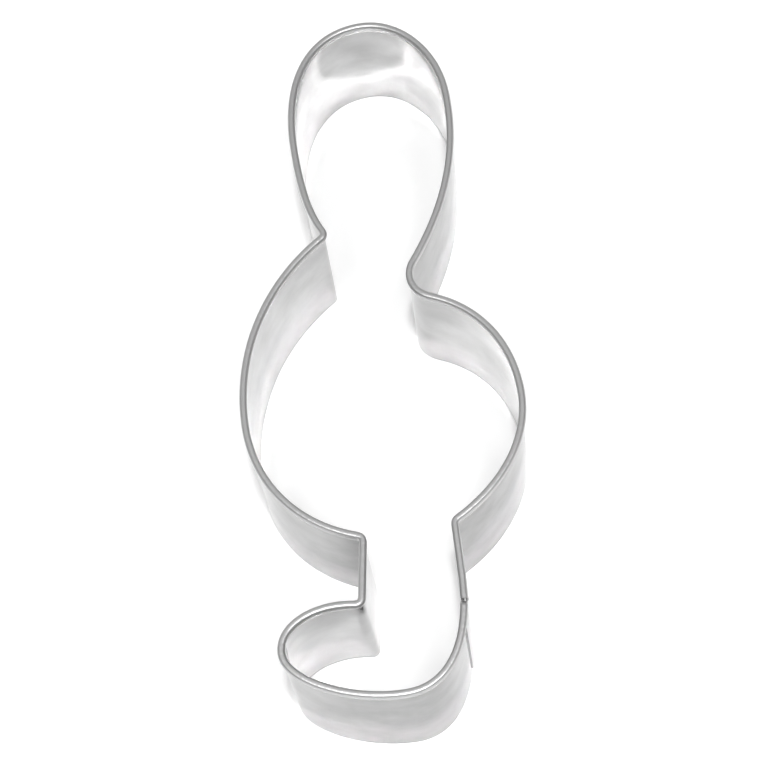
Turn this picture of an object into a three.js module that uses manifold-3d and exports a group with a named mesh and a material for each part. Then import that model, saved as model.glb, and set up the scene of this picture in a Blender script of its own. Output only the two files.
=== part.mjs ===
// Cookie cutter in the outline of a treble clef: one strip of thin bright steel, bent on edge. Its top edge is
// hemmed outwards, its lower edge cuts, and its ends lap on the stem, where two spot welds join them.
// Millimetres, +Z up. The cutter stands on its cutting edge at z = 0, with the head of the clef towards +Y.
import * as THREE from "three";
import { mergeVertices } from "three/addons/utils/BufferGeometryUtils.js";
import Module from "manifold-3d";

const wasm = await Module();
wasm.setup();

// Strip and hem
const HEIGHT = 22; // cutting edge to the top of the hem
const SHEET = 0.25; // thickness of the strip
const HEM_WIDTH = 1.25; // across the round fold
const HEM_INSET = 0.425; // how far the fold stands in from the wall's inner face
const HEM_EASE = 0.9; // height under the fold's middle over which the wall steps in to it
const HEM_DEPTH = 1.8; // top of the fold to the lower end of the turned-down leg
const HEM_SLIT = 0.1; // left open between the leg's end and the wall

// Outline of the wall's inner face, drawn from the middle of the stem's upper end.
// A rise or a reach runs from one node to the next one.
const STEM_WIDTH = 14.5; // between the bow's two lower corners
const STEM_RIGHT_LENGTH = 9.45; // straight part of the right wall
const STEM_RIGHT_LEAN = 0.4; // how far that wall leans in on its way down
const STEM_LEFT_LENGTH = 12.15; // down to the hook's inner corner
const STEM_LEFT_LEAN = 2.05; // how far the left wall leans out on its way down
const BOW_RIGHT_REACH = 14.75; // from the lower right corner out to the widest point
const BOW_RIGHT_RISE = 21.5;
const BOW_LEFT_REACH = 16.3;
const BOW_LEFT_RISE = 23.7;
const WAIST_RIGHT_REACH = 18.25; // from the bow's widest point back in to the waist
const WAIST_RIGHT_RISE = 22.3;
const WAIST_LEFT_REACH = 18.45;
const WAIST_LEFT_RISE = 34.15;
const HEAD_LEFT_REACH = 3.05; // from the left waist out to the head's widest point
const HEAD_LEFT_RISE = 18.8;
const CROWN_LEFT_REACH = 15.05; // from there across to the top of the head
const CROWN_LEFT_RISE = 24.25;
const CROWN_RIGHT_REACH = 12.85; // from the top across to the widest point on the right
const CROWN_RIGHT_DROP = 17.8;
const HOOK_BELLY_REACH = 11.35; // from the end of the right stem across to the hook's lowest point
const HOOK_BELLY_DROP = 18.2;
const HOOK_TIP_REACH = 18.45; // from the lowest point across to the hook's tip
const HOOK_TIP_RISE = 9.85;

// Directions at the corners, in degrees from level, and of the head's sides from upright
const BOW_RIGHT_FOOT_SLOPE = 27;
const BOW_LEFT_FOOT_SLOPE = 19;
const BOW_RIGHT_SHOULDER_SLOPE = 8;
const BOW_LEFT_SHOULDER_SLOPE = 31.5;
const HEAD_RIGHT_LEAN = 41.5;
const HEAD_LEFT_LEAN = 29;
const HOOK_LIP_SLOPE = 16.5;

// Fullness of each curve: 0.55 is a quarter of an ellipse, more is squarer, less is leaner
const BOW_FULLNESS = 0.62;
const HEAD_RIGHT_FULLNESS = 0.68;
const CROWN_RIGHT_FULLNESS = 0.55;
const CROWN_LEFT_FULLNESS = 0.62;
const HEAD_LEFT_FULLNESS = 0.69;
const HOOK_LIP_FULLNESS = 0.51;
const HOOK_TIP_FULLNESS = 0.47;
const HOOK_BELLY_FULLNESS = 0.63;

// Bend radii of the inner face
const CORNER_BEND = 1.2;
const WAIST_RIGHT_BEND = 5.05;

// Seam: the hems butt, one end's flap lies outside the wall and the other end's tab inside it
const SEAM_BELOW_CORNER = 14.6; // from the bow's lower right corner, along the wall
const HEM_BUTT_GAP = 0.6;
const FLAP_REACH = 3.2; // from the seam towards the hook
const FLAP_CORNER = 1; // radius of the flap's lower corner
const TAB_REACH = 6; // from the seam up the stem, behind the wall
const LAP_GAP = 0.1; // between the lapped walls, filled at the welds
const LAP_BELOW_HEM = 0.4; // the notched ends stay this far under the hem
const JOGGLE = 1.1; // half the length over which the walls change places

// Spot welds
const WELD_DIAMETER = 3;
const WELD_UP_STEM = 2.8; // from the seam, along the wall
const WELD_EDGE = 5; // from the cutting edge to the lower weld, and from the notched edge to the upper one

// Fineness of the facets
const FACET_TURN = THREE.MathUtils.degToRad(6);
const FACET_LENGTH = 6;
const LAP_STEP = 0.4;
const FOLD_STEPS = 6; // round the outside of the fold
const FOLD_INSIDE_STEPS = 3;
const WELD_SIDES = 32;
const CURVE_SAMPLES = 160;

const point = (x, y) => new THREE.Vector2(x, y);
const heading = (degrees) => point(1, 0).rotateAround(point(0, 0), THREE.MathUtils.degToRad(degrees));
const cross = (a, b) => a.x * b.y - a.y * b.x;

// A curve that leaves `start` along one heading and reaches `end` along another. Its handles go the given share
// of the way to the crossing of the two tangents.
function sweepCurve(start, startHeading, end, endHeading, fullness) {
  const out = heading(startHeading);
  const into = heading(endHeading);
  const span = end.clone().sub(start);
  const outLength = cross(span, into) / cross(out, into);
  const intoLength = cross(out, span) / cross(out, into);
  const outHandle = start.clone().addScaledVector(out, outLength * fullness);
  const intoHandle = end.clone().addScaledVector(into, -intoLength * fullness);
  return new THREE.CubicBezierCurve(start, outHandle, intoHandle, end);
}

// The clef's runs, counter-clockwise from the bow's lower right corner. A run's `bend` is the radius of the
// corner at its end, or 0 where the next run goes on smoothly.
function clefRuns() {
  const lowerRight = point(STEM_WIDTH / 2, 0);
  const lowerLeft = point(-STEM_WIDTH / 2, 0);
  const bowRight = point(lowerRight.x + BOW_RIGHT_REACH, BOW_RIGHT_RISE);
  const bowLeft = point(lowerLeft.x - BOW_LEFT_REACH, BOW_LEFT_RISE);
  const waistRight = point(bowRight.x - WAIST_RIGHT_REACH, bowRight.y + WAIST_RIGHT_RISE);
  const waistLeft = point(bowLeft.x + WAIST_LEFT_REACH, bowLeft.y + WAIST_LEFT_RISE);
  const headLeft = point(waistLeft.x - HEAD_LEFT_REACH, waistLeft.y + HEAD_LEFT_RISE);
  const crown = point(headLeft.x + CROWN_LEFT_REACH, headLeft.y + CROWN_LEFT_RISE);
  const headRight = point(crown.x + CROWN_RIGHT_REACH, crown.y - CROWN_RIGHT_DROP);
  const hookCorner = point(lowerLeft.x - STEM_LEFT_LEAN, -STEM_LEFT_LENGTH);
  const stemEnd = point(lowerRight.x - STEM_RIGHT_LEAN, -STEM_RIGHT_LENGTH);
  const belly = point(stemEnd.x - HOOK_BELLY_REACH, stemEnd.y - HOOK_BELLY_DROP);
  const hookTip = point(belly.x - HOOK_TIP_REACH, belly.y + HOOK_TIP_RISE);
  const stemHeading = THREE.MathUtils.radToDeg(lowerRight.clone().sub(stemEnd).angle());
  const [right, up, left, down] = [0, 90, 180, 270];
  const headRightOut = up - HEAD_RIGHT_LEAN;
  const headLeftIn = down + HEAD_LEFT_LEAN;
  const lipOut = left - HOOK_LIP_SLOPE;
  return [
    [sweepCurve(lowerRight, right + BOW_RIGHT_FOOT_SLOPE, bowRight, up, BOW_FULLNESS), 0],
    [sweepCurve(bowRight, up, waistRight, left - BOW_RIGHT_SHOULDER_SLOPE, BOW_FULLNESS), WAIST_RIGHT_BEND],
    [sweepCurve(waistRight, headRightOut, headRight, up, HEAD_RIGHT_FULLNESS), 0],
    [sweepCurve(headRight, up, crown, left, CROWN_RIGHT_FULLNESS), 0],
    [sweepCurve(crown, left, headLeft, down, CROWN_LEFT_FULLNESS), 0],
    [sweepCurve(headLeft, down, waistLeft, headLeftIn, HEAD_LEFT_FULLNESS), CORNER_BEND],
    [sweepCurve(waistLeft, left + BOW_LEFT_SHOULDER_SLOPE, bowLeft, down, BOW_FULLNESS), 0],
    [sweepCurve(bowLeft, down, lowerLeft, -BOW_LEFT_FOOT_SLOPE, BOW_FULLNESS), CORNER_BEND],
    [new THREE.LineCurve(lowerLeft, hookCorner), CORNER_BEND],
    [sweepCurve(hookCorner, lipOut, hookTip, down, HOOK_LIP_FULLNESS), 0],
    [sweepCurve(hookTip, down, belly, right, HOOK_TIP_FULLNESS), 0],
    [sweepCurve(belly, right, stemEnd, stemHeading, HOOK_BELLY_FULLNESS), 0],
    [new THREE.LineCurve(stemEnd, lowerRight), CORNER_BEND],
  ].map(([curve, bend]) => ({ curve, bend }));
}

// The outward side of a counter-clockwise outline is on the right of its heading.
const outward = (angle) => point(Math.sin(angle), -Math.cos(angle));

// A run as closely spaced stations: places with their headings.
function stationsOf(curve) {
  return Array.from({ length: CURVE_SAMPLES + 1 }, (_, i) => {
    const t = i / CURVE_SAMPLES;
    return { at: curve.getPoint(t), angle: curve.getTangent(t).angle() };
  });
}

// Where two offset runs cross, as positions in their lists of stations.
function crossing(before, after, distance) {
  const offset = (s) => s.at.clone().addScaledVector(outward(s.angle), distance);
  const a = before.map(offset);
  const b = after.map(offset);
  for (let i = a.length - 2; i >= 0; i--) {
    for (let j = 0; j < b.length - 1; j++) {
      const da = a[i + 1].clone().sub(a[i]);
      const db = b[j + 1].clone().sub(b[j]);
      const gap = b[j].clone().sub(a[i]);
      const ta = cross(gap, db) / cross(da, db);
      const tb = cross(gap, da) / cross(da, db);
      if (ta >= 0 && ta < 1 && tb >= 0 && tb < 1) return [i, j, a[i].addScaledVector(da, ta)];
    }
  }
  throw new Error("a bend's radius is too large for the runs beside it");
}

const wrapTurn = (angle) => Math.atan2(Math.sin(angle), Math.cos(angle));

// An arc of the bend's radius about a centre outside the wall, from one heading to the other.
function bendStations(centre, radius, from, to) {
  const turn = wrapTurn(to - from);
  const steps = Math.ceil(CURVE_SAMPLES * (Math.abs(turn) / Math.PI));
  return Array.from({ length: steps + 1 }, (_, i) => {
    const angle = from + (turn * i) / steps;
    return { at: centre.clone().addScaledVector(outward(angle), -radius), angle };
  });
}

// The closed outline as one list of stations, with each corner rounded by its bend.
function outlineStations() {
  const runs = clefRuns();
  const lists = runs.map(({ curve }) => stationsOf(curve));
  const bends = runs.map(({ bend }, i) => {
    if (bend === 0) return [];
    const next = (i + 1) % runs.length;
    const [endsAt, startsAt, centre] = crossing(lists[i], lists[next], bend);
    const from = lists[i][endsAt].angle;
    const to = lists[next][startsAt + 1].angle;
    return { endsAt, startsAt, next, arc: bendStations(centre, bend, from, to) };
  });
  const first = runs.map(() => 0);
  const last = lists.map((list) => list.length - 1);
  bends.forEach((b, i) => {
    if (!b.arc) return;
    last[i] = b.endsAt + 1;
    first[b.next] = b.startsAt + 1;
  });
  return lists.flatMap((list, i) => [...list.slice(first[i], last[i]), ...(bends[i].arc ?? [])]);
}

// The outline measured along its length, with places looked up by distance from the first corner.
function measuredOutline() {
  const stations = outlineStations();
  const loop = [...stations, stations[0]];
  const lengths = [0];
  const turns = [loop[0].angle];
  const costs = [0];
  for (let i = 1; i < loop.length; i++) {
    const step = loop[i].at.distanceTo(loop[i - 1].at);
    const turn = wrapTurn(loop[i].angle - loop[i - 1].angle);
    lengths.push(lengths[i - 1] + step);
    turns.push(turns[i - 1] + turn);
    costs.push(costs[i - 1] + Math.max(Math.abs(turn) / FACET_TURN, step / FACET_LENGTH));
  }
  const length = lengths.at(-1);
  const find = (list, value) => {
    let low = 0;
    let high = list.length - 1;
    while (high - low > 1) {
      const middle = (low + high) >> 1;
      if (list[middle] <= value) low = middle;
      else high = middle;
    }
    return [low, (value - list[low]) / (list[high] - list[low])];
  };
  const mix = (list, [i, t]) => list[i] + (list[i + 1] - list[i]) * t;
  const wrap = (s) => ((s % length) + length) % length;
  const place = (s) => {
    const [i, t] = find(lengths, wrap(s));
    return { at: loop[i].at.clone().lerp(loop[i + 1].at, t), side: outward(mix(turns, [i, t])) };
  };
  // Distances from one place to another, closer together where the outline turns.
  const cost = (s) => mix(costs, find(lengths, wrap(s))) + Math.floor(s / length) * costs.at(-1);
  const spread = (from, to) => {
    const whole = cost(to) - cost(from);
    const steps = Math.ceil(whole);
    return Array.from({ length: steps + 1 }, (_, k) => {
      const value = cost(from) + (whole * k) / steps;
      const lap = Math.floor(value / costs.at(-1));
      return mix(lengths, find(costs, value - lap * costs.at(-1))) + lap * length;
    });
  };
  return { length, place, spread };
}

const outline = measuredOutline();
const seam = outline.length - SEAM_BELOW_CORNER;
const lapTop = HEIGHT - HEM_DEPTH - LAP_BELOW_HEM;
const lapOffset = SHEET + LAP_GAP;

// Even steps over each stretch between marked distances.
function evenSteps(marks, step) {
  const stretches = marks.slice(1).map((to, i) => {
    const from = marks[i];
    const count = Math.max(1, Math.round((to - from) / step));
    return Array.from({ length: count }, (_, k) => from + ((to - from) * k) / count);
  });
  return [...stretches.flat(), marks.at(-1)];
}

// Distances from the seam at which both lapped walls have a station.
const lapMarks = [-FLAP_REACH, -FLAP_REACH + FLAP_CORNER, -HEM_BUTT_GAP / 2, HEM_BUTT_GAP / 2, TAB_REACH];
const lapSteps = evenSteps(
  lapMarks.toSorted((a, b) => a - b),
  LAP_STEP,
);

// Sideways shift of the outer wall near the seam: it steps out by a sheet and the gap on the hook's side.
const outerShift = (fromSeam) => lapOffset * (1 - THREE.MathUtils.smoothstep(fromSeam, -JOGGLE, JOGGLE));
const innerShift = (fromSeam) => outerShift(fromSeam) - lapOffset;

// The strip's section as distances (outwards from the inner face, up from the cutting edge), from the inner
// face's foot over the fold, down the leg, up inside it and down the wall's outer face.
function stripSection(foot) {
  const radius = HEM_WIDTH / 2;
  const foldZ = HEIGHT - radius;
  const foldU = radius - HEM_INSET;
  const fold = (r, steps) =>
    Array.from({ length: steps + 1 }, (_, i) => {
      const angle = Math.PI * (1 - i / steps);
      return [foldU + r * Math.cos(angle), foldZ + r * Math.sin(angle)];
    });
  const legEnd = SHEET + HEM_SLIT;
  const legFoot = HEIGHT - HEM_DEPTH;
  return [
    [0, foot],
    [0, lapTop],
    [0, foldZ - HEM_EASE],
    ...fold(radius, FOLD_STEPS),
    [legEnd + SHEET, legFoot],
    [legEnd, legFoot],
    ...fold(radius - SHEET, FOLD_INSIDE_STEPS).reverse(),
    [SHEET, foldZ - HEM_EASE],
    [SHEET, lapTop],
    [SHEET, foot],
  ];
}

// Height of the strip's lower edge: it rises round the flap's corner and is level elsewhere.
function footHeight(fromFlapEnd) {
  const inset = FLAP_CORNER - Math.min(fromFlapEnd, FLAP_CORNER);
  return FLAP_CORNER - Math.sqrt(FLAP_CORNER ** 2 - inset ** 2);
}

// The band: a wall alone along the flap, the whole section along the hem, and a wall alone along the tab.
function bandGeometry() {
  const hemStart = HEM_BUTT_GAP / 2;
  const hemEnd = outline.length - HEM_BUTT_GAP / 2;
  const stretchEnd = outline.length - FLAP_REACH;
  const middle = outline.spread(seam + TAB_REACH, seam + stretchEnd).map((s) => s - seam);
  const distances = [
    ...lapSteps,
    ...middle.slice(1, -1),
    ...lapSteps.map((s) => s + outline.length),
  ];
  const positions = [];
  const faces = [];
  const count = stripSection(0).length;
  const wall = [0, 1, count - 2, count - 1];
  const whole = Array.from({ length: count }, (_, i) => i);

  const rings = distances.map((s) => {
    const { at, side } = outline.place(seam + s);
    const shift = outerShift(s) + innerShift(s - outline.length);
    const section = stripSection(footHeight(s + FLAP_REACH));
    const hemmed = s > hemStart - LAP_STEP / 4 && s < hemEnd + LAP_STEP / 4;
    const ring = new Map();
    for (const i of hemmed ? whole : wall) {
      const [u, z] = section[i];
      ring.set(i, positions.length / 3);
      positions.push(at.x + side.x * (u + shift), at.y + side.y * (u + shift), z);
    }
    return { ring, hemmed, section };
  });

  for (let k = 1; k < rings.length; k++) {
    const [a, b] = [rings[k - 1], rings[k]];
    const shared = a.hemmed && b.hemmed ? whole : wall;
    shared.forEach((i, n) => {
      const j = shared[(n + 1) % shared.length];
      faces.push(a.ring.get(i), a.ring.get(j), b.ring.get(j));
      faces.push(a.ring.get(i), b.ring.get(j), b.ring.get(i));
    });
  }

  // Flat ends: a face over part of one ring, looking back along the strip or forward.
  const close = ({ ring, section }, indices, looksBack) => {
    const contour = indices.map((i) => point(...section[i]));
    for (const triangle of THREE.ShapeUtils.triangulateShape(contour, [])) {
      const [a, b, c] = triangle.map((n) => contour[n]);
      const turnsLeft = cross(b.clone().sub(a), c.clone().sub(a)) > 0;
      const [i, j, k] = triangle.map((n) => ring.get(indices[n]));
      faces.push(...(turnsLeft === looksBack ? [i, j, k] : [i, k, j]));
    }
  };
  const hem = whole.slice(1, -1);
  const hemmedRings = rings.filter(({ hemmed }) => hemmed);
  close(rings[0], wall, true);
  close(hemmedRings[0], hem, true);
  close(hemmedRings.at(-1), hem, false);
  close(rings.at(-1), wall, false);

  const geometry = new THREE.BufferGeometry();
  geometry.setAttribute("position", new THREE.Float32BufferAttribute(positions, 3));
  geometry.setIndex(faces);
  return geometry;
}

// The space between the lapped walls as a solid: it has the walls' own facets on both sides.
function lapGapGeometry() {
  const positions = [];
  const faces = [];
  const gapSection = (inner, outer) => [
    [inner, 0],
    [inner, lapTop],
    [outer, lapTop],
    [outer, 0],
  ];
  for (const s of lapSteps) {
    const { at, side } = outline.place(seam + s);
    for (const [u, z] of gapSection(innerShift(s) + SHEET, outerShift(s))) {
      positions.push(at.x + side.x * u, at.y + side.y * u, z);
    }
  }
  const corners = gapSection(0, LAP_GAP).length;
  for (let k = 0; k < lapSteps.length - 1; k++) {
    for (let i = 0; i < corners; i++) {
      const j = (i + 1) % corners;
      const [a, b] = [k * corners, (k + 1) * corners];
      faces.push(a + i, a + j, b + j, a + i, b + j, b + i);
    }
  }
  const end = (lapSteps.length - 1) * corners;
  faces.push(0, 2, 1, 0, 3, 2);
  faces.push(end, end + 1, end + 2, end, end + 2, end + 3);
  const geometry = new THREE.BufferGeometry();
  geometry.setAttribute("position", new THREE.Float32BufferAttribute(positions, 3));
  geometry.setIndex(faces);
  return geometry;
}

function solidOf(geometry) {
  const bare = geometry.clone();
  bare.deleteAttribute("normal");
  bare.deleteAttribute("uv");
  const merged = mergeVertices(bare);
  const vertProperties = new Float32Array(merged.attributes.position.array);
  const triVerts = new Uint32Array(merged.index.array);
  return new wasm.Manifold(new wasm.Mesh({ numProp: 3, vertProperties, triVerts }));
}

function geometryOf(solid) {
  const { vertProperties, triVerts } = solid.getMesh();
  const geometry = new THREE.BufferGeometry();
  geometry.setAttribute("position", new THREE.BufferAttribute(vertProperties, 3));
  geometry.setIndex(new THREE.BufferAttribute(triVerts, 1));
  return geometry;
}

// A weld nugget: the disc of the lap's gap that a pair of electrodes fused, square to the wall.
function weldGeometry(height) {
  const { at, side } = outline.place(seam + WELD_UP_STEM);
  const reach = HEM_WIDTH * 2;
  const electrode = new THREE.CylinderGeometry(WELD_DIAMETER / 2, WELD_DIAMETER / 2, reach, WELD_SIDES);
  electrode.rotateZ(-Math.PI / 2);
  electrode.rotateZ(side.angle());
  electrode.translate(at.x, at.y, height);
  return geometryOf(solidOf(lapGapGeometry()).intersect(solidOf(electrode)));
}

function namedMesh(name, geometry, material) {
  geometry.computeVertexNormals();
  const mesh = new THREE.Mesh(geometry, material);
  mesh.name = name;
  return mesh;
}

const brightSteel = new THREE.MeshStandardMaterial({ color: 0xcdcfd0, roughness: 0.2, metalness: 1 });
const weldSteel = new THREE.MeshStandardMaterial({ color: 0x9b9c9d, roughness: 0.55, metalness: 1 });

const cutter = new THREE.Group();
const band = namedMesh("band", bandGeometry(), brightSteel);
cutter.add(band);
cutter.add(namedMesh("spot_weld_lower", weldGeometry(WELD_EDGE), weldSteel));
cutter.add(namedMesh("spot_weld_upper", weldGeometry(lapTop - WELD_EDGE), weldSteel));

// The origin is under the middle of the cutter, on the board that it stands on.
band.geometry.computeBoundingBox();
const middle = band.geometry.boundingBox.getCenter(new THREE.Vector3());
cutter.position.set(-middle.x, -middle.y, 0);

const part = new THREE.Group();
part.add(cutter);
export default part;
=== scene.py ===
"""Looks of a cookie cutter: one strip of bright steel, hemmed along the top and bent into a treble clef.

The strip is a profile carried along the clef's outline. The main sizes are those of the solids, in
millimetres, with small marks of bending and wear added, painted shade on the outer face and a painted
sheen on the hem. The meshes are written in metres in the same frame.
"""

import logging
import math
from dataclasses import dataclass, field
from enum import Enum

import bpy
import numpy as np
from mathutils import Matrix, Vector


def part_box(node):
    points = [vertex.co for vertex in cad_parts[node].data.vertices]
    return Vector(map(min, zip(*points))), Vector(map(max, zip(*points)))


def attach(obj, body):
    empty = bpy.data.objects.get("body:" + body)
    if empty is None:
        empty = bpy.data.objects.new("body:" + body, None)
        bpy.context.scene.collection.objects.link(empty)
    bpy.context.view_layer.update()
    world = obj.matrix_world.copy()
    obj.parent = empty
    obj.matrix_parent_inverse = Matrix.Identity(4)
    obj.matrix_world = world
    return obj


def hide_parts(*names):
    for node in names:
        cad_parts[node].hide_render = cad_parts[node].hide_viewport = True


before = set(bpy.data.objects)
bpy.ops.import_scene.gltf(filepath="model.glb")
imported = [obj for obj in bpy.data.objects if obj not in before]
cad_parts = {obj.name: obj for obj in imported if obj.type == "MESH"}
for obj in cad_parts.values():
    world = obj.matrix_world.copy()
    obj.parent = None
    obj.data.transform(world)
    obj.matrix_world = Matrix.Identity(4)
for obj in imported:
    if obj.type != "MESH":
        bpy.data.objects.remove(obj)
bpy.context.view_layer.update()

LOG = logging.getLogger("cutter")
MM = 0.001  # metres in a millimetre

# The band's attribute: metres along the flat strip, metres over its section, and 1 on the hem
STRIP_PLACE = "strip_place"

# Plan directions of a reach from one place of the outline to the next
UP_RIGHT = np.array([1.0, 1.0])
UP_LEFT = np.array([-1.0, 1.0])
DOWN_RIGHT = np.array([1.0, -1.0])
DOWN_LEFT = np.array([-1.0, -1.0])
RIGHT, UP, LEFT, DOWN = 0.0, 90.0, 180.0, 270.0  # headings in degrees

NEARLY_PARALLEL = 1e-15  # area of two steps below which they count as parallel
NOISE_SPAN = (0.3, 0.7)  # where most values of a noise lie
NOISE_ROUGHNESS = 0.55  # share of each octave of noise that the next finer one keeps
MIX_FACTOR, MIX_A, MIX_B, MIX_RESULT = 0, 6, 7, 2  # a Mix node's sockets for colours
FROM_MIN = 1  # a Map Range node's first bound, which the other three follow

Colour = tuple[float, float, float]  # red, green and blue
Pattern = tuple[float, float, float]  # repeats per metre along three axes


def heading(degrees: float) -> np.ndarray:
    """Unit vector in the plan at an angle from +X."""
    return np.array([math.cos(math.radians(degrees)), math.sin(math.radians(degrees))])


def cross(a: np.ndarray, b: np.ndarray) -> np.ndarray:
    """Signed area of two plan vectors, over any leading axes."""
    return a[..., 0] * b[..., 1] - a[..., 1] * b[..., 0]


def outward(angle: np.ndarray) -> np.ndarray:
    """The right-hand side of a heading in radians, which is outside a counter-clockwise outline."""
    return np.stack([np.sin(angle), -np.cos(angle)], axis=-1)


def smoothstep(x: np.ndarray, low: float, high: float) -> np.ndarray:
    """0 below low, 1 above high, and an S-curve 3t^2 - 2t^3 between."""
    t = np.clip((x - low) / (high - low), 0.0, 1.0)
    return t * t * (3.0 - 2.0 * t)


@dataclass
class Run:
    """One stretch of the outline as closely spaced points.

    Attributes:
        points: Plan positions, one row each.
        angles: Heading at each point, in radians, without jumps.
        bend: Radius of the corner at the end of the run, or 0 where the next run goes on smoothly.
    """

    points: np.ndarray
    angles: np.ndarray
    bend: float


@dataclass
class ClefOutline:
    """The plan of the wall's inner face, in millimetres, drawn from the middle of the stem's upper end.

    A pair is the reach across and along from one place of the clef to the next. Feet, shoulders, leans and
    slopes are degrees off the plain headings. A fullness is the share of the way that a curve's handles go to
    the crossing of its end tangents. Bends are radii.

    Attributes:
        samples: Points on each run before the outline is spaced evenly.
        bend_samples: Points on each bend.
        spacing: Distance between the finished outline's points.
        spring_back: Length over which springy sheet eases a change of curvature.
    """

    stem_width: float = 14.5
    stem_right: tuple[float, float] = (0.4, 9.45)
    stem_left: tuple[float, float] = (2.05, 12.15)
    bow_right: tuple[float, float] = (14.75, 21.5)
    bow_left: tuple[float, float] = (16.3, 23.7)
    waist_right: tuple[float, float] = (18.25, 22.3)
    waist_left: tuple[float, float] = (18.45, 34.15)
    head_left: tuple[float, float] = (3.05, 18.8)
    crown_left: tuple[float, float] = (15.05, 24.25)
    crown_right: tuple[float, float] = (12.85, 17.8)
    hook_belly: tuple[float, float] = (11.35, 18.2)
    hook_tip: tuple[float, float] = (18.45, 9.85)
    bow_right_foot: float = 27.0
    bow_left_foot: float = 19.0
    bow_right_shoulder: float = 8.0
    bow_left_shoulder: float = 31.5
    head_right_lean: float = 41.5
    head_left_lean: float = 29.0
    hook_lip_slope: float = 16.5
    bow_fullness: float = 0.62
    head_right_fullness: float = 0.68
    crown_right_fullness: float = 0.55
    crown_left_fullness: float = 0.62
    head_left_fullness: float = 0.69
    hook_lip_fullness: float = 0.51
    hook_tip_fullness: float = 0.47
    hook_belly_fullness: float = 0.63
    corner_bend: float = 1.2
    waist_right_bend: float = 5.05
    samples: int = 1200
    bend_samples: int = 300
    spacing: float = 0.05
    spring_back: float = 0.35

    def curve(
        self, start: np.ndarray, out: float, end: np.ndarray, into: float, fullness: float, bend: float = 0.0
    ) -> Run:
        """A cubic whose handles go a share of the way to the crossing of its end tangents.

        Args:
            start: First point.
            out: Heading at the first point, in degrees.
            end: Last point.
            into: Heading at the last point, in degrees.
            fullness: Share of the way to the crossing, 0.55 for a quarter of an ellipse.
            bend: Radius of the corner at its end, if there is one.

        Returns:
            The run.
        """
        first, last = heading(out), heading(into)
        span = end - start
        reach_out = cross(span, last) / cross(first, last)
        reach_in = cross(first, span) / cross(first, last)
        a, b, c, d = start, start + first * reach_out * fullness, end - last * reach_in * fullness, end
        t = np.linspace(0.0, 1.0, self.samples)[:, None]
        points = (1 - t) ** 3 * a + 3 * t * (1 - t) ** 2 * b + 3 * t * t * (1 - t) * c + t**3 * d
        slope = (1 - t) ** 2 * (b - a) + 2 * t * (1 - t) * (c - b) + t * t * (d - c)
        return Run(points, np.unwrap(np.arctan2(slope[:, 1], slope[:, 0])), bend)

    def line(self, start: np.ndarray, end: np.ndarray, bend: float) -> Run:
        """A straight run.

        Args:
            start: First point.
            end: Last point.
            bend: Radius of the corner at its end.

        Returns:
            The run.
        """
        t = np.linspace(0.0, 1.0, self.samples)[:, None]
        angle = math.atan2(*(end - start)[::-1])
        return Run(start + (end - start) * t, np.full(self.samples, angle), bend)

    def hook_corner(self) -> np.ndarray:
        """Where the stem's left side meets the hook's lip."""
        return np.array([-self.stem_width / 2 - self.stem_left[0], -self.stem_left[1]])

    def runs(self) -> list[Run]:
        """Lays the clef out from place to place and draws the runs between.

        Returns:
            The runs, counter-clockwise from the bow's lower right corner.
        """
        lower_right = np.array([self.stem_width / 2, 0.0])
        lower_left = np.array([-self.stem_width / 2, 0.0])
        bow_right = lower_right + UP_RIGHT * self.bow_right
        bow_left = lower_left + UP_LEFT * self.bow_left
        waist_right = bow_right + UP_LEFT * self.waist_right
        waist_left = bow_left + UP_RIGHT * self.waist_left
        head_left = waist_left + UP_LEFT * self.head_left
        crown = head_left + UP_RIGHT * self.crown_left
        head_right = crown + DOWN_RIGHT * self.crown_right
        hook_corner = self.hook_corner()
        stem_end = lower_right + DOWN_LEFT * self.stem_right
        belly = stem_end + DOWN_LEFT * self.hook_belly
        hook_tip = belly + UP_LEFT * self.hook_tip
        stem_heading = math.degrees(math.atan2(*(lower_right - stem_end)[::-1]))
        shoulder_in = LEFT - self.bow_right_shoulder
        shoulder_out = LEFT + self.bow_left_shoulder
        head_out = UP - self.head_right_lean
        head_in = DOWN + self.head_left_lean
        lip_out = LEFT - self.hook_lip_slope
        return [
            self.curve(lower_right, RIGHT + self.bow_right_foot, bow_right, UP, self.bow_fullness),
            self.curve(bow_right, UP, waist_right, shoulder_in, self.bow_fullness, self.waist_right_bend),
            self.curve(waist_right, head_out, head_right, UP, self.head_right_fullness),
            self.curve(head_right, UP, crown, LEFT, self.crown_right_fullness),
            self.curve(crown, LEFT, head_left, DOWN, self.crown_left_fullness),
            self.curve(head_left, DOWN, waist_left, head_in, self.head_left_fullness, self.corner_bend),
            self.curve(waist_left, shoulder_out, bow_left, DOWN, self.bow_fullness),
            self.curve(bow_left, DOWN, lower_left, -self.bow_left_foot, self.bow_fullness, self.corner_bend),
            self.line(lower_left, hook_corner, self.corner_bend),
            self.curve(hook_corner, lip_out, hook_tip, DOWN, self.hook_lip_fullness),
            self.curve(hook_tip, DOWN, belly, RIGHT, self.hook_tip_fullness),
            self.curve(belly, RIGHT, stem_end, stem_heading, self.hook_belly_fullness),
            self.line(stem_end, lower_right, self.corner_bend),
        ]

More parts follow.
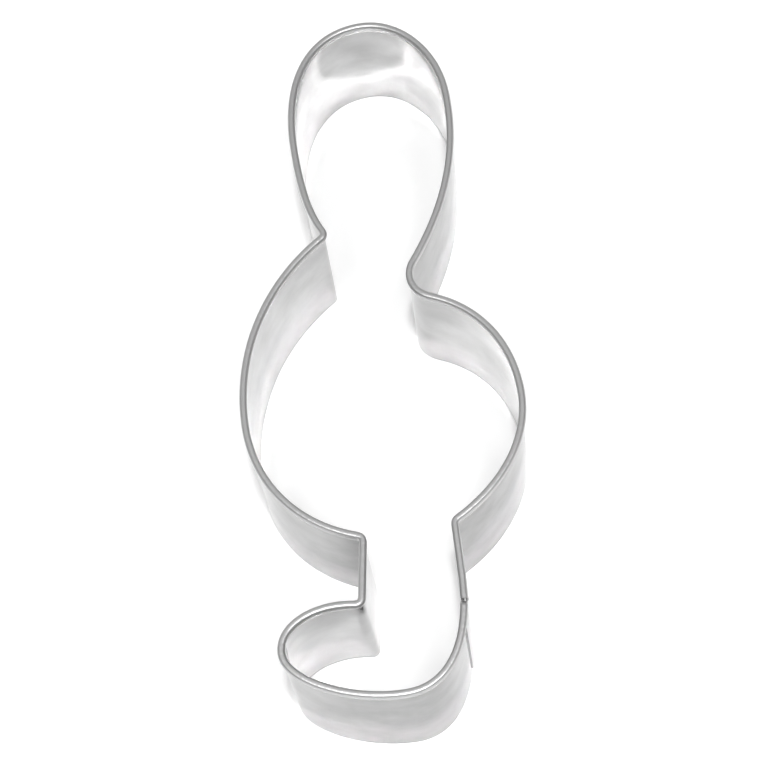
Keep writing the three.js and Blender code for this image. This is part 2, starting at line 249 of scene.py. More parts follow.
    @staticmethod
    def crossing(before: Run, after: Run, distance: float) -> tuple[int, int, np.ndarray]:
        """Where two runs, moved outwards by a distance, cross each other.

        Args:
            before: The run that comes to the corner.
            after: The run that leaves it.
            distance: How far both are moved, which is the bend's radius.

        Returns:
            The last point kept on the first run, the first kept on the second, and the bend's centre.
        """
        a = before.points + outward(before.angles) * distance
        b = after.points + outward(after.angles) * distance
        da, db = np.diff(a, axis=0)[:, None], np.diff(b, axis=0)[None]
        gap = b[None, :-1] - a[:-1, None]
        area = cross(da, db)
        area = np.where(np.abs(area) < NEARLY_PARALLEL, NEARLY_PARALLEL, area)
        ta, tb = cross(gap, db) / area, cross(gap, da) / area
        hits = np.argwhere((ta >= 0) & (ta < 1) & (tb >= 0) & (tb < 1))
        i, j = hits[-1]
        return int(i), int(j) + 1, a[i] + da[i, 0] * ta[i, j]

    def rounded(self) -> np.ndarray:
        """Cuts the runs back at each corner and puts an arc of the corner's bend between them.

        Returns:
            Plan positions from the lower right corner round to the same place again.
        """
        runs = self.runs()
        first, last = [0] * len(runs), [run.points.shape[0] - 1 for run in runs]
        arcs = [np.empty((0, 2)) for _ in runs]
        for i, run in enumerate(runs):
            if run.bend == 0.0:
                continue
            after = (i + 1) % len(runs)
            ends, starts, centre = self.crossing(run, runs[after], run.bend)
            turn = runs[after].angles[starts] - run.angles[ends]
            turn = math.atan2(math.sin(turn), math.cos(turn))
            angles = run.angles[ends] + np.linspace(0.0, turn, self.bend_samples)
            arcs[i] = centre - outward(angles) * run.bend
            last[i], first[after] = ends, starts
        pieces = [np.concatenate([r.points[a:b], arc]) for r, a, b, arc in zip(runs, first, last, arcs)]
        points = np.concatenate(pieces)
        return np.concatenate([points, points[:1]])

    def loop(self) -> np.ndarray:
        """The closed outline, evenly spaced and eased by a bell over the spring-back, as springy sheet is.

        Returns:
            Plan positions from the lower right corner, one row for each step of the spacing.
        """
        points = self.rounded()
        along = np.concatenate([[0.0], np.cumsum(np.hypot(*np.diff(points, axis=0).T))])
        count = int(along[-1] / self.spacing)
        even = np.linspace(0.0, along[-1], count, endpoint=False)
        points = np.stack([np.interp(even, along, points[:, axis]) for axis in (0, 1)], axis=1)
        wave = np.fft.rfftfreq(count, d=along[-1] / count)
        ease = np.exp(-0.5 * (2.0 * math.pi * wave * self.spring_back) ** 2)
        return np.fft.irfft(np.fft.rfft(points, axis=0) * ease[:, None], n=count, axis=0)


@dataclass
class StripPath:
    """The outline measured along its length: place, heading and a rule for where stations are needed.

    Attributes:
        points: Closed, evenly spaced plan positions.
        facet_turn: Greatest turn between two stations, in radians.
        facet_length: Greatest distance between two stations.
    """

    points: np.ndarray
    facet_turn: float = math.radians(3.0)
    facet_length: float = 0.55

    def __post_init__(self) -> None:
        """Measures the closed line and its headings."""
        ahead, behind = np.roll(self.points, -1, axis=0), np.roll(self.points, 1, axis=0)
        slope = ahead - behind
        angles = np.unwrap(np.arctan2(slope[:, 1], slope[:, 0]))
        steps = np.hypot(*(ahead - self.points).T)
        self.length = float(steps.sum())
        self.at = np.concatenate([[0.0], np.cumsum(steps)])
        self.loop_points = np.concatenate([self.points, self.points[:1]])
        self.loop_angles = np.concatenate([angles, angles[:1] + 2.0 * math.pi])
        turns = np.abs(np.diff(self.loop_angles))
        needs = np.maximum(turns / self.facet_turn, steps / self.facet_length)
        self.costs = np.concatenate([[0.0], np.cumsum(needs)])

    def place(self, s: np.ndarray) -> tuple[np.ndarray, np.ndarray]:
        """Reads the outline at distances along it.

        Args:
            s: Distances from the lower right corner, on any lap round the outline.

        Returns:
            Plan positions and outward directions.
        """
        s = np.mod(s, self.length)
        xy = np.stack([np.interp(s, self.at, self.loop_points[:, axis]) for axis in (0, 1)], axis=-1)
        return xy, outward(np.interp(s, self.at, self.loop_angles))

    def cost(self, s: float) -> float:
        """Stations used up from the lower right corner to a distance."""
        within = float(np.interp(s % self.length, self.at, self.costs))
        return within + math.floor(s / self.length) * self.costs[-1]

    def spread(self, start: float, end: float) -> np.ndarray:
        """Stations between two distances, closer together where the outline turns.

        Args:
            start: First distance.
            end: Last distance.

        Returns:
            The stations' distances, both ends among them.
        """
        whole = self.costs[-1]
        first, last = self.cost(start), self.cost(end)
        values = np.linspace(first, last, math.ceil(last - first) + 1)
        turns = np.floor(values / whole)
        return np.interp(values - turns * whole, self.costs, self.at) + turns * self.length


def mesh_object(
    name: str, vertices: np.ndarray, faces: list, material: bpy.types.Material
) -> bpy.types.Object:
    """Makes an object at the origin from vertices in millimetres.

    Args:
        name: Name of the piece.
        vertices: Positions in millimetres, one row each.
        faces: Vertex numbers of each face, outward sides counter-clockwise.
        material: Its finish.

    Returns:
        The object, linked to the scene and smooth-shaded.
    """
    mesh = bpy.data.meshes.new(name)
    mesh.from_pydata((vertices * MM).tolist(), [], faces)
    mesh.validate()
    mesh.materials.append(material)
    mesh.shade_smooth()
    piece = bpy.data.objects.new(name, mesh)
    bpy.context.scene.collection.objects.link(piece)
    return piece


class Nodes:
    """A material's node tree, with short calls to add and join nodes."""

    def __init__(self, name: str) -> None:
        """Starts an empty tree with a Principled shader at its end."""
        self.material = bpy.data.materials.new(name)
        self.material.use_nodes = True
        self.tree = self.material.node_tree
        self.tree.nodes.clear()
        output = self.tree.nodes.new("ShaderNodeOutputMaterial")
        self.shader = self.tree.nodes.new("ShaderNodeBsdfPrincipled")
        self.tree.links.new(self.shader.outputs["BSDF"], output.inputs["Surface"])

    def add(self, kind: str, **settings: object) -> bpy.types.Node:
        """Adds a node.

        Args:
            kind: Type of the node.
            settings: Values by name. An input's name sets that input, any other name the node's own property.

        Returns:
            The node.
        """
        node = self.tree.nodes.new(kind)
        for key, value in settings.items():
            label = key.replace("_", " ")
            if label in node.inputs:
                node.inputs[label].default_value = value
            else:
                setattr(node, key, value)
        return node

    def join(self, source: bpy.types.NodeSocket, target: bpy.types.NodeSocket) -> None:
        """Links an output to an input."""
        self.tree.links.new(source, target)

    def noise(self, vector: bpy.types.NodeSocket, stretch: Pattern, detail: float) -> bpy.types.NodeSocket:
        """Noise over a stretched place, as a value round 0.5.

        Args:
            vector: Place to read.
            stretch: Repeats per metre along each axis of the place.
            detail: Octaves of finer noise.

        Returns:
            The noise value's socket.
        """
        mapping = self.add("ShaderNodeMapping", Scale=stretch)
        self.join(vector, mapping.inputs["Vector"])
        noise = self.add("ShaderNodeTexNoise", Scale=1.0, Detail=detail, Roughness=NOISE_ROUGHNESS)
        self.join(mapping.outputs["Vector"], noise.inputs["Vector"])
        return noise.outputs["Fac"]

    def remap(
        self, value: bpy.types.NodeSocket, old: tuple[float, float], new: tuple[float, float]
    ) -> bpy.types.NodeSocket:
        """Moves a value's old range to a new range, held at its ends.

        Args:
            value: The value.
            old: Its range.
            new: What the range's ends become.

        Returns:
            The moved value's socket.
        """
        node = self.add("ShaderNodeMapRange")
        for index, number in enumerate((*old, *new), start=FROM_MIN):
            node.inputs[index].default_value = number
        self.join(value, node.inputs["Value"])
        return node.outputs["Result"]

    def calculate(
        self, operation: str, first: bpy.types.NodeSocket, second: bpy.types.NodeSocket
    ) -> bpy.types.NodeSocket:
        """Works out one value from two.

        Args:
            operation: What to do with them.
            first: The first value.
            second: The second value.

        Returns:
            The result's socket.
        """
        node = self.add("ShaderNodeMath", operation=operation)
        self.join(first, node.inputs[0])
        self.join(second, node.inputs[1])
        return node.outputs["Value"]

    def blend(
        self,
        factor: bpy.types.NodeSocket,
        low: Colour | bpy.types.NodeSocket,
        high: Colour,
        clamp: bool = True,
    ) -> bpy.types.NodeSocket:
        """Goes from one colour to another.

        Args:
            factor: 0 for the first colour, 1 for the second.
            low: The first colour, or the socket that gives it.
            high: The second colour.
            clamp: Whether factors past 0 and 1 are held there.

        Returns:
            The colour's socket.
        """
        node = self.add("ShaderNodeMix", data_type="RGBA", clamp_factor=clamp)
        node.inputs[MIX_B].default_value = (*high, 1.0)
        self.join(factor, node.inputs[MIX_FACTOR])
        if isinstance(low, bpy.types.NodeSocket):
            self.join(low, node.inputs[MIX_A])
        else:
            node.inputs[MIX_A].default_value = (*low, 1.0)
        return node.outputs[MIX_RESULT]

    def bump(
        self,
        height: bpy.types.NodeSocket,
        strength: float,
        depth: float,
        under: bpy.types.NodeSocket | None = None,
    ) -> bpy.types.NodeSocket:
        """Tilts the surface by a height.

        Args:
            height: The height, from 0 to 1.
            strength: How much of the tilt is used.
            depth: Metres from height 0 to height 1.
            under: A tilt that this one comes on top of.

        Returns:
            The tilted normal's socket.
        """
        node = self.add("ShaderNodeBump", Strength=strength, Distance=depth)
        self.join(height, node.inputs["Height"])
        if under is not None:
            self.join(under, node.inputs["Normal"])
        return node.outputs["Normal"]


@dataclass(frozen=True)
class BrightSteel:
    """Bright rolled sheet, its outer face painted darker than the inner as shade for the lesser light it
    reflects, with rolling lines along the strip and a dented hem.

    Its patterns are read on the flat strip, so they follow it round the bends. A pattern's three numbers are
    its repeats per metre along the strip and over its section, and 0.

    Attributes:
        inside: Colour of the inner face.
        outside: Colour of the outer face, darker than the inner face's as painted shade for the lesser light
            that the outer faces reflect.
        outside_from: Metres over the section where the inner face's colour turns to the outer face's painted
            shade, out of sight within the hem.
        roughness: Least and greatest roughness of the wall, changing in smudges.
        smudges: Pattern of the smudges.
        clouding: How far the smudges take the inner face's colour towards the outer face's, and back.
        hem: Colour of the hem, paler than the wall as a painted sheen for the light that the fold's top
            reflects.
        hem_roughness: Roughness of the hem.
        lines: Pattern of the rolling lines.
        line_strength: Strength of the rolling lines.
        line_depth: Depth of the rolling lines in metres.
        dents: Pattern of the hem's dents.
        dent_depth: Depth of the hem's dents in metres.
    """

    inside: Colour = (0.5, 0.5, 0.5)
    outside: Colour = (0.385, 0.385, 0.385)
    outside_from: tuple[float, float] = (0.0255, 0.0262)
    roughness: tuple[float, float] = (0.07, 0.13)
    smudges: Pattern = (130.0, 210.0, 0.0)
    clouding: float = 0.5
    hem: Colour = (0.57, 0.57, 0.57)
    hem_roughness: float = 0.44
    lines: Pattern = (60.0, 5200.0, 0.0)
    line_strength: float = 0.02
    line_depth: float = 0.0001
    dents: Pattern = (1400.0, 500.0, 0.0)
    dent_depth: float = 0.00008

    def material(self) -> bpy.types.Material:
        """Builds the node material.

        Returns:
            The material.
        """
        nodes = Nodes("bright_steel")
        place = nodes.add("ShaderNodeAttribute", attribute_name=STRIP_PLACE).outputs["Vector"]
        parts = nodes.add("ShaderNodeSeparateXYZ")
        nodes.join(place, parts.inputs["Vector"])
        over_section, on_hem = parts.outputs["Y"], parts.outputs["Z"]
        smudge = nodes.noise(place, self.smudges, detail=5.0)

        dulling = nodes.add("ShaderNodeMix", data_type="FLOAT", B=self.hem_roughness)
        nodes.join(on_hem, dulling.inputs["Factor"])
        nodes.join(nodes.remap(smudge, NOISE_SPAN, self.roughness), dulling.inputs["A"])
        nodes.join(dulling.outputs["Result"], nodes.shader.inputs["Roughness"])

        # The outer face's darker colour is painted shade for the lesser light it reflects; the smudges cloud
        # it at random.
        outer = nodes.remap(over_section, self.outside_from, (0.0, 1.0))
        cloud = nodes.remap(smudge, NOISE_SPAN, (-self.clouding, self.clouding))
        cloudy = nodes.calculate("ADD", outer, cloud)
        wall = nodes.blend(cloudy, self.inside, self.outside, clamp=False)
        # The hem's paler colour is a painted sheen for the light that the fold's top reflects.
        nodes.join(nodes.blend(on_hem, wall, self.hem), nodes.shader.inputs["Base Color"])

        lined = nodes.bump(nodes.noise(place, self.lines, detail=3.0), self.line_strength, self.line_depth)
        dent = nodes.calculate("MULTIPLY", nodes.noise(place, self.dents, detail=2.0), on_hem)
        dented = nodes.bump(dent, 1.0, self.dent_depth, lined)
        nodes.join(dented, nodes.shader.inputs["Normal"])
        nodes.shader.inputs["Metallic"].default_value = 1.0
        return nodes.material


@dataclass(frozen=True)
class WeldSteel:
    """Fused steel of a weld nugget: matt, with a mottled grey.

    Attributes:
        dark: Darkest colour of the mottle.
        light: Lightest colour of the mottle.
        roughness: Least and greatest roughness, changing with the mottle.
        mottle: Repeats of the mottle per metre.
    """

    dark: Colour = (0.34, 0.34, 0.34)
    light: Colour = (0.5, 0.5, 0.5)
    roughness: tuple[float, float] = (0.45, 0.65)
    mottle: float = 1800.0

    def material(self) -> bpy.types.Material:
        """Builds the node material.

        Returns:
            The material.
        """
        nodes = Nodes("weld_steel")
        place = nodes.add("ShaderNodeTexCoord").outputs["Object"]
        mottled = nodes.noise(place, (self.mottle, self.mottle, self.mottle), detail=3.0)
        nodes.join(nodes.blend(mottled, self.dark, self.light), nodes.shader.inputs["Base Color"])
        nodes.join(nodes.remap(mottled, NOISE_SPAN, self.roughness), nodes.shader.inputs["Roughness"])
        nodes.shader.inputs["Metallic"].default_value = 1.0
        return nodes.material


@dataclass(frozen=True)
class BoardPaint:
    """The plain pale floor that the cutter stands on.

    Attributes:
        colour: Colour of the paint.
        roughness: Roughness of the paint.
        own_white: What the board adds for the eye, the metal and the glass, so that it shows as white.
    """

    colour: Colour = (0.93, 0.93, 0.93)
    roughness: float = 0.6
    own_white: float = 0.17

    def material(self) -> bpy.types.Material:
        """Builds the node material.

        Returns:
            The material.
        """
        nodes = Nodes("pale_board")
        inputs = nodes.shader.inputs
        inputs["Base Color"].default_value = (*self.colour, 1.0)
        inputs["Roughness"].default_value = self.roughness
        inputs["Specular IOR Level"].default_value = 0.0
        inputs["Emission Color"].default_value = (self.own_white, self.own_white, self.own_white, 1.0)
        rays = nodes.add("ShaderNodeLightPath").outputs
        mirrored = nodes.calculate("MAXIMUM", rays["Is Glossy Ray"], rays["Is Transmission Ray"])
        seen = nodes.calculate("MAXIMUM", mirrored, rays["Is Camera Ray"])
        nodes.join(seen, inputs["Emission Strength"])
        return nodes.material


@dataclass
class CutterBand:
    """The bent strip with its hem, its lapped ends and the marks of its bending. Sizes in millimetres.

    Attributes:
        outline: Plan of the wall's inner face.
        height: Cutting edge to the top of the hem.
        sheet: Thickness of the sheet.
        hem_width: Across the fold.
        hem_inset: How far the fold stands in from the wall's inner face.
        hem_ease: Height under the fold's middle over which the wall steps in to it.
        hem_depth: Top of the fold to the lower end of the turned-down leg.
        hem_slit: Left open between the leg's end and the wall.
        hem_squareness: Power of the fold's superellipse, where 2 is round and more is pressed flatter.
        seam_below_corner: Along the strip from the seam to the bow's lower right corner.
        hem_butt_gap: Between the hem's two ends.
        butt_sink: How far the hook's end of the hem is pressed down.
        butt_reach: Length over which it rises again.
        flap_reach: From the seam towards the hook, outside the wall.
        flap_corner: Radius of the flap's lower corner.
        flap_lift: How far the flap's end stands off the wall, or is pressed in where it is below 0.
        flap_curl: Length over which the flap's end comes to that.
        tab_reach: From the seam up the stem, inside the wall.
        lap_gap: Between the lapped walls.
        lap_below_hem: The notched ends stay this far under the hem.
        lap_still: Distance from the seam over which the doubled wall has no waves.
        joggle: Distance on each side of the seam over which the wall steps outwards.
        stem_splay: Plan movement of the wall's foot at the hook's corner.
        splay_reach: Distance over which the splay falls off.
        crease_depth: Depth of the pinch in the hook's corner.
        crease_size: Reach of the pinch along the strip and up it.
        crease_below_rim: Top of the hem to the pinch.
        edge_round: Rounding of the sheet's cut edges.
        worn_foot: Height of the strip along the cutting edge where the face turns to the edge's rounding.
        sharp_angle: Degrees above which an edge is shaded sharp.
        wall_steps: Levels up the wall.
        ease_steps: Levels up the step under the fold.
        fold_steps: Facets round the fold.
        leg_steps: Facets down the turned-down leg.
        lap_step: Distance between stations near the seam.
        wave: Size of the wall's unevenness.
        wave_heights: Shares of the height between which the waves die down.
        wave_least: Share of the waves that is left at the hem.
        swell: Lengths along the strip of the long waves and of their drift, per radian.
        swell_drift: How far the long waves drift, in radians.
        ripple: Lengths along the strip and up it of the short waves, per radian.
        ripple_share: Size of the short waves against the long ones.
        ripple_start: Phase of the short waves at the seam's foot, in radians.
    """

    outline: ClefOutline = field(default_factory=ClefOutline)
    height: float = 22.0
    sheet: float = 0.25
    hem_width: float = 1.25
    hem_inset: float = 0.425
    hem_ease: float = 1.5
    hem_depth: float = 1.8
    hem_slit: float = 0.1
    hem_squareness: float = 2.7
    seam_below_corner: float = 14.6
    hem_butt_gap: float = 0.15
    butt_sink: float = 0.9
    butt_reach: float = 0.5
    flap_reach: float = 3.2
    flap_corner: float = 1.0
    flap_lift: float = -0.06
    flap_curl: float = 1.4
    tab_reach: float = 6.0
    lap_gap: float = 0.02
    lap_below_hem: float = 0.4
    lap_still: float = 8.0
    joggle: float = 1.1
    stem_splay: tuple[float, float] = (0.9, -0.18)
    splay_reach: float = 14.0
    crease_depth: float = 0.8
    crease_size: tuple[float, float] = (0.8, 0.45)
    crease_below_rim: float = 2.1
    edge_round: float = 0.025
    worn_foot: float = 0.75
    sharp_angle: float = 50.0
    wall_steps: int = 14
    ease_steps: int = 8
    fold_steps: int = 24
    leg_steps: int = 6
    lap_step: float = 0.08
    wave: float = 0.02
    wave_heights: tuple[float, float] = (0.35, 0.95)
    wave_least: float = 0.25
    swell: tuple[float, float] = (5.3, 17.0)
    swell_drift: float = 0.6
    ripple: tuple[float, float] = (2.9, 9.0)
    ripple_share: float = 0.6
    ripple_start: float = 1.3

    def __post_init__(self) -> None:
        """Measures the outline and finds the seam."""
        self.path = StripPath(self.outline.loop())
        self.seam = self.path.length - self.seam_below_corner
        self.lap_top = self.height - self.hem_depth - self.lap_below_hem
        self.lap_offset = self.sheet + self.lap_gap

    def section(self) -> tuple[np.ndarray, int, int]:
        """The strip's section as a closed ring of (outwards from the inner face, up) pairs.

        It goes up the inner face, over the fold, down the leg, up inside the leg and the fold, down the
        wall's outer face and round the cutting edge. The fold is half a superellipse, pressed flat on top.

        Returns:
            The ring, the number of its point at the lap's top on the inner face, and on the outer face.
        """
        radius = self.hem_width / 2
        fold_z, fold_u = self.height - radius, radius - self.hem_inset
        edge = self.edge_round
        turn = np.linspace(math.pi, 0.0, self.fold_steps + 1)
        rise = np.linspace(0.0, 1.0, self.ease_steps, endpoint=False)
        wall = np.concatenate([[edge], np.linspace(self.worn_foot, self.lap_top, self.wall_steps - 1)])
        levels = np.concatenate([wall, fold_z - self.hem_ease * (1.0 - rise)])
        step_in = -self.hem_inset * smoothstep(levels, fold_z - self.hem_ease, fold_z)
        inner_wall = np.stack([step_in, levels], axis=1)
        outer_wall = np.stack([step_in + self.sheet, levels], axis=1)[::-1]
        flat = np.abs(np.stack([np.cos(turn), np.sin(turn)], axis=1)) ** (2.0 / self.hem_squareness)
        fold = flat * np.sign(np.stack([np.cos(turn), np.ones_like(turn)], axis=1))
        middle = np.array([fold_u, fold_z])
        outer_fold = middle + radius * fold
        inner_fold = (middle + (radius - self.sheet) * fold)[::-1]
        leg_end = self.sheet + self.hem_slit
        leg_z = self.height - self.hem_depth
        share = np.linspace(0.0, 1.0, self.leg_steps + 1)[1:-1, None]
        leg_tip = np.array([leg_end + self.sheet, leg_z + edge])
        leg_out = outer_fold[-1] + (leg_tip - outer_fold[-1]) * share
        leg_root = np.array([leg_end, leg_z + edge])
        leg_in = leg_root + (inner_fold[0] - leg_root) * share
        tip = np.array([leg_tip, leg_tip + [-edge, -edge], leg_root + [edge, -edge], leg_root])
        foot = np.array([[self.sheet - edge, 0.0], [edge, 0.0]])
        ring = np.concatenate([inner_wall, outer_fold, leg_out, tip, leg_in, inner_fold, outer_wall, foot])
        inner_top = self.wall_steps - 1
        return ring, inner_top, len(ring) - len(foot) - self.wall_steps

    def stations(self) -> tuple[np.ndarray, int, int]:
        """Where the section stands along the strip, from the flap's end to the tab's.

        Returns:
            Distances from the seam, and the numbers of the first and the last one that has a hem.
        """
        half = self.hem_butt_gap / 2
        flap = np.linspace(-self.flap_reach, half, int(self.flap_reach / self.lap_step))
        start = np.linspace(half, self.tab_reach, int(self.tab_reach / self.lap_step))
        middle_end = self.path.length - self.flap_reach
        middle = self.path.spread(self.seam + self.tab_reach, self.seam + middle_end) - self.seam
        end = np.linspace(middle_end, self.path.length - half, int(self.flap_reach / self.lap_step))
        tab = np.linspace(-half, self.tab_reach, int(self.tab_reach / self.lap_step)) + self.path.length
        parts = [flap[:-1], start[:-1], middle[:-1], end[:-1], tab]
        counts = [len(part) for part in parts]
        return np.concatenate(parts), counts[0], sum(counts[:-1])

    def outer_shift(self, from_seam: np.ndarray) -> np.ndarray:
        """Sideways step of the outer wall: a sheet and the gap outwards on the hook's side of the seam."""
        return self.lap_offset * (1.0 - smoothstep(from_seam, -self.joggle, self.joggle))

    def foot_height(self, from_flap_end: np.ndarray) -> np.ndarray:
        """Height of the lower edge, which rises in a quarter circle at the flap's corner."""
        inset = self.flap_corner - np.minimum(from_flap_end, self.flap_corner)
        return self.flap_corner - np.sqrt(self.flap_corner**2 - inset**2)

    def waves(self, s: np.ndarray, z: np.ndarray) -> np.ndarray:
        """Slight unevenness of hand-bent sheet, stilled towards the stiff hem and at the doubled wall.

        Args:
            s: Distance from the seam along the strip, one row for each station.
            z: Heights, one row for each station.

        Returns:
            Sideways movement: a sum of long and short sines over the strip's length and height.
        """
        low, high = self.wave_heights
        free = 1.0 - smoothstep(z, low * self.height, high * self.height)
        from_seam = np.minimum(np.abs(s), np.abs(s - self.path.length))
        still = np.exp(-((from_seam / self.lap_still) ** 4))
        long = np.sin(s / self.swell[0] + self.swell_drift * np.sin(s / self.swell[1]))
        short = np.sin(s / self.ripple[0] + z / self.ripple[1] + self.ripple_start)
        size = self.wave * (self.wave_least + (1.0 - self.wave_least) * free) * (1.0 - still)
        return size * (long + self.ripple_share * short)

    def splay(self, place: np.ndarray, z: np.ndarray) -> np.ndarray:
        """Lean of the stem's left wall, whose foot stands in from its rim.

        Args:
            place: Plan positions of the stations, one row each.
            z: Heights, one row for each station.

        Returns:
            Plan movement: most at the hook's corner, falling off as a bell, and none at the rim.
        """
        corner = self.outline.hook_corner()
        near = np.exp(-np.sum((place - corner) ** 2, axis=1) / self.splay_reach**2)
        return (near[:, None] * (1.0 - z / self.height))[..., None] * np.array(self.stem_splay)

    def crease(self, place: np.ndarray, z: np.ndarray) -> np.ndarray:
        """Pinch that the bending left in the hook's corner, close under the hem.

        Args:
            place: Plan positions of the stations, one row each.
            z: Heights, one row for each station.

        Returns:
            Sideways movement: a bell round one spot of the corner.
        """
        wide, tall = self.crease_size
        near = np.sum((place - self.outline.hook_corner()) ** 2, axis=1) / wide**2
        down = (z - (self.height - self.crease_below_rim)) / tall
        return self.crease_depth * np.exp(-near[:, None] - down**2)

    def swept(self, ring: np.ndarray, s: np.ndarray) -> np.ndarray:
        """Stands the section at every station and moves it by the lap, the waves, the lean and the pinch.

        Args:
            ring: The section.
            s: Distances from the seam.

        Returns:
            Positions, one row for each point of each station's ring.
        """
        u, z = ring[:, 0], ring[:, 1]
        place, side = self.path.place(self.seam + s)
        from_end = s - self.path.length
        from_flap_end = s + self.flap_reach
        lift = np.clip(1.0 - z / self.lap_top, 0.0, 1.0)
        crest = smoothstep(z, self.lap_top, self.height)
        sink = self.butt_sink * np.exp(-((from_end / self.butt_reach) ** 2))
        up = z + self.foot_height(from_flap_end)[:, None] * lift - sink[:, None] * crest
        shift = self.outer_shift(s) + self.outer_shift(from_end) - self.lap_offset
        curl = self.flap_lift * (1.0 - smoothstep(from_flap_end, 0.0, self.flap_curl))
        out = u + (shift + curl)[:, None] + self.waves(s[:, None], up) + self.crease(place, up)
        xy = place[:, None] + side[:, None] * out[..., None] + self.splay(place, up)
        return np.concatenate([xy, up[..., None]], axis=-1).reshape(-1, 3)

    def flat_place(self, ring: np.ndarray, s: np.ndarray) -> np.ndarray:
        """Where each point lies on the flat strip.

        Args:
            ring: The section.
            s: Distances from the seam.

        Returns:
            Metres along the strip, metres over the section and 1 on the hem, one row for each point.
        """
        walk = np.concatenate([[0.0], np.cumsum(np.hypot(*np.diff(ring, axis=0).T))])
        on_hem = smoothstep(ring[:, 1], self.lap_top, self.height - self.hem_width)
        return np.stack(np.broadcast_arrays(s[:, None] * MM, walk * MM, on_hem), axis=-1).reshape(-1, 3)

    @staticmethod
    def skin(number: np.ndarray) -> np.ndarray:
        """Quads between neighbouring rings.

        Args:
            number: Vertex numbers, one row for each ring.

        Returns:
            Vertex numbers of the quads, one row each.
        """
        onward = np.roll(number, -1, axis=1)
        return np.stack([number[:-1], onward[:-1], onward[1:], number[1:]], axis=-1).reshape(-1, 4)

    @staticmethod
    def centring(vertices: np.ndarray) -> np.ndarray:
        """Measures how far the drawing is from the solid band.

        Args:
            vertices: The band's positions.

        Returns:
            Plan shift that puts the drawing where the solid band is.
        """
        low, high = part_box("band")
        middle = (vertices[:, :2].min(axis=0) + vertices[:, :2].max(axis=0)) / 2
        target = np.array([(low[axis] + high[axis]) / 2 / MM for axis in (0, 1)])
        return target - middle

    def build(self, finish: BrightSteel) -> bpy.types.Object:
        """Carries the section along the outline and closes the ends.

        The flap and the tab have the wall's part of the section alone, and the hem's ends are closed
        by themselves.

        Args:
            finish: The strip's finish.

        Returns:
            The band as one closed mesh.
        """
        ring, inner_top, outer_top = self.section()
        s, hem_first, hem_last = self.stations()
        vertices = self.swept(ring, s)
        number = np.arange(len(vertices)).reshape(len(s), len(ring))
        whole = np.arange(len(ring))
        wall = np.concatenate([whole[: inner_top + 1], whole[outer_top:]])
        hem = whole[inner_top : outer_top + 1]
        flap = self.skin(number[: hem_first + 1, wall])
        hemmed = self.skin(number[hem_first : hem_last + 1])
        tab = self.skin(number[hem_last:, wall])
        quads = np.concatenate([flap, hemmed, tab])
        ends = [
            number[0, wall][::-1],
            number[hem_first, hem][::-1],
            number[hem_last, hem],
            number[-1, wall],
        ]
        used = np.unique(quads)
        renumber = np.zeros(len(vertices), dtype=int)
        renumber[used] = np.arange(len(used))
        faces = renumber[quads].tolist() + [renumber[end].tolist() for end in ends]
        vertices[:, :2] += self.centring(vertices[used])
        piece = mesh_object("clef_band", vertices[used], faces, finish.material())
        strip = piece.data.attributes.new(STRIP_PLACE, "FLOAT_VECTOR", "POINT")
        strip.data.foreach_set("vector", self.flat_place(ring, s)[used].astype(np.float32).ravel())
        piece.data.set_sharp_from_angle(angle=math.radians(self.sharp_angle))
        return piece


class LampShape(Enum):
    """Shape of a soft lamp's face."""

    PANEL = "RECTANGLE"
    DISC = "DISK"


@dataclass(frozen=True)
class SoftLamp:
    """A soft studio lamp aimed at the cutter.

    Attributes:
        name: What it is called.
        azimuth: Degrees round from -Y towards +X.
        elevation: Degrees above the board.
        distance: Metres from the cutter.
        size: Width and height of its face in metres.
        power: Watts.
        shape: Outline of its face.
    """

    name: str
    azimuth: float
    elevation: float
    distance: float
    size: tuple[float, float]
    power: float
    shape: LampShape = LampShape.PANEL

    def build(self) -> bpy.types.Object:
        """Makes the lamp and turns its face to the origin.

        Returns:
            The lamp.
        """
        data = bpy.data.lights.new(self.name, "AREA")
        data.shape = self.shape.value
        data.size, data.size_y = self.size
        data.energy = self.power
        lamp = bpy.data.objects.new(self.name, data)
        a, e = math.radians(self.azimuth), math.radians(self.elevation)
        back = Vector((math.sin(a) * math.cos(e), -math.cos(a) * math.cos(e), math.sin(e)))
        lamp.location = back * self.distance
        lamp.rotation_mode = "QUATERNION"
        lamp.rotation_quaternion = back.to_track_quat("Z", "Y")
        bpy.context.scene.collection.objects.link(lamp)
        return lamp


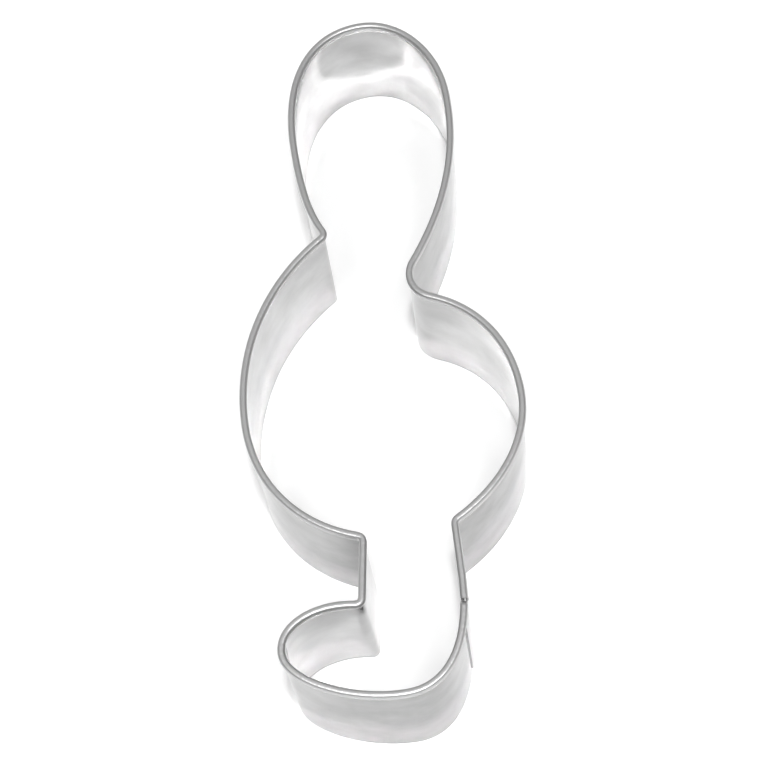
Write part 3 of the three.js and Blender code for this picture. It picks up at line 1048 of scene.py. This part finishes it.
@dataclass
class Studio:
    """Board, lamps, sky and camera.

    Attributes:
        board_half: Half the board's side in metres.
        board_drop: Metres that the board lies under the cutting edge.
        sky: Strength of the sky overhead.
        horizon: Strength of the sky at the horizon.
        horizon_rise: Sines of the heights between which the horizon fades to the sky.
        camera_elevation: Degrees above the board.
        camera_roll: Degrees that the camera turns about its own axis.
        camera_distance: Metres from the target.
        camera_target: What the camera points at, in millimetres.
        camera_clip: Nearest and farthest metres that it sees.
        lens: Focal length in millimetres.
        sensor: Width of the sensor in millimetres.
        lamps: The soft lamps.
    """

    board_half: float = 1.5
    board_drop: float = 0.00002
    sky: float = 0.08
    horizon: float = 0.6
    horizon_rise: tuple[float, float] = (0.15, 0.65)
    camera_elevation: float = 60.7
    camera_roll: float = -10.04
    camera_distance: float = 0.4021
    camera_target: tuple[float, float, float] = (0.89, -3.89, 11.0)
    camera_clip: tuple[float, float] = (0.01, 50.0)
    lens: float = 109.97
    sensor: float = 36.0
    lamps: tuple[SoftLamp, ...] = (
        SoftLamp("key_lamp", 8.2, 78.0, 2.0, (0.14, 0.14), 13.2, LampShape.DISC),
        SoftLamp("front_strip", 0.0, 65.0, 2.0, (0.28, 0.6), 9.2),
        SoftLamp("front_right_lamp", 52.0, 69.0, 1.0, (0.2, 0.2), 1.3, LampShape.DISC),
        SoftLamp("front_left_lamp", -50.0, 71.0, 1.0, (0.25, 0.25), 1.2, LampShape.DISC),
        SoftLamp("right_lamp", 100.0, 66.0, 1.0, (0.2, 0.2), 0.2, LampShape.DISC),
        SoftLamp("left_lamp", -110.0, 66.0, 1.0, (0.2, 0.2), 0.15, LampShape.DISC),
        SoftLamp("back_panel", -174.0, 54.0, 1.3, (1.6, 0.8), 2.3),
    )

    def floor(self) -> bpy.types.Object:
        """Makes the pale board under the cutting edge.

        Returns:
            The board.
        """
        h = self.board_half / MM
        z = -self.board_drop / MM
        corners = np.array([[-h, -h, z], [h, -h, z], [h, h, z], [-h, h, z]])
        return mesh_object("board", corners, [[0, 1, 2, 3]], BoardPaint().material())

    def light(self) -> None:
        """Makes the lamps and the sky, and keeps the light that the bright walls throw on the board."""
        for lamp in self.lamps:
            lamp.build()
        bpy.context.scene.world = self.paling_sky()
        bpy.context.scene.cycles.blur_glossy = 0.0
        bpy.context.scene.cycles.sample_clamp_indirect = 0.0

    def paling_sky(self) -> bpy.types.World:
        """Makes a dim sky that pales to the horizon.

        Returns:
            The world, whose strength falls with the sine of the height.
        """
        world = bpy.data.worlds.new("studio_sky")
        world.use_nodes = True
        tree = world.node_tree
        background = tree.nodes["Background"]
        background.inputs["Color"].default_value = (1.0, 1.0, 1.0, 1.0)
        direction = tree.nodes.new("ShaderNodeTexCoord")
        parts = tree.nodes.new("ShaderNodeSeparateXYZ")
        tree.links.new(direction.outputs["Generated"], parts.inputs["Vector"])
        paling = tree.nodes.new("ShaderNodeMapRange")
        for index, number in enumerate((*self.horizon_rise, self.horizon, self.sky), start=FROM_MIN):
            paling.inputs[index].default_value = number
        tree.links.new(parts.outputs["Z"], paling.inputs["Value"])
        tree.links.new(paling.outputs["Result"], background.inputs["Strength"])
        return world

    def camera(self) -> bpy.types.Object:
        """Makes the camera at the photograph's viewing angle, with its roll.

        Returns:
            The camera, set as the scene's.
        """
        data = bpy.data.cameras.new("camera")
        data.lens, data.sensor_width = self.lens, self.sensor
        data.clip_start, data.clip_end = self.camera_clip
        e, r = math.radians(self.camera_elevation), math.radians(self.camera_roll)
        back = Vector((0.0, -math.cos(e), math.sin(e)))
        right = Vector((1.0, 0.0, 0.0))
        up = back.cross(right)
        right, up = math.cos(r) * right + math.sin(r) * up, -math.sin(r) * right + math.cos(r) * up
        turned = Matrix((right, up, back)).transposed().to_4x4()
        place = Vector(self.camera_target) * MM + back * self.camera_distance
        camera = bpy.data.objects.new("camera", data)
        camera.matrix_world = Matrix.Translation(place) @ turned
        bpy.context.scene.collection.objects.link(camera)
        bpy.context.scene.camera = camera
        return camera


def main() -> None:
    """Builds the band, dresses the welds, sets the studio up and reports each piece."""
    logging.basicConfig(level=logging.INFO, format="%(name)s: %(message)s")
    scene = bpy.context.scene
    scene.view_settings.view_transform = "Standard"

    studio = Studio()
    studio.camera()
    studio.floor()
    studio.light()

    band = CutterBand().build(BrightSteel())
    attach(band, "root")
    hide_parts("band")
    LOG.info("%s: %d faces", band.name, len(band.data.polygons))

    weld = WeldSteel().material()
    for name in ("spot_weld_lower", "spot_weld_upper"):
        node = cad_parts[name]
        node.data.materials.clear()
        node.data.materials.append(weld)
        LOG.info("%s: dressed", name)


if __name__ == "__main__":
    main()
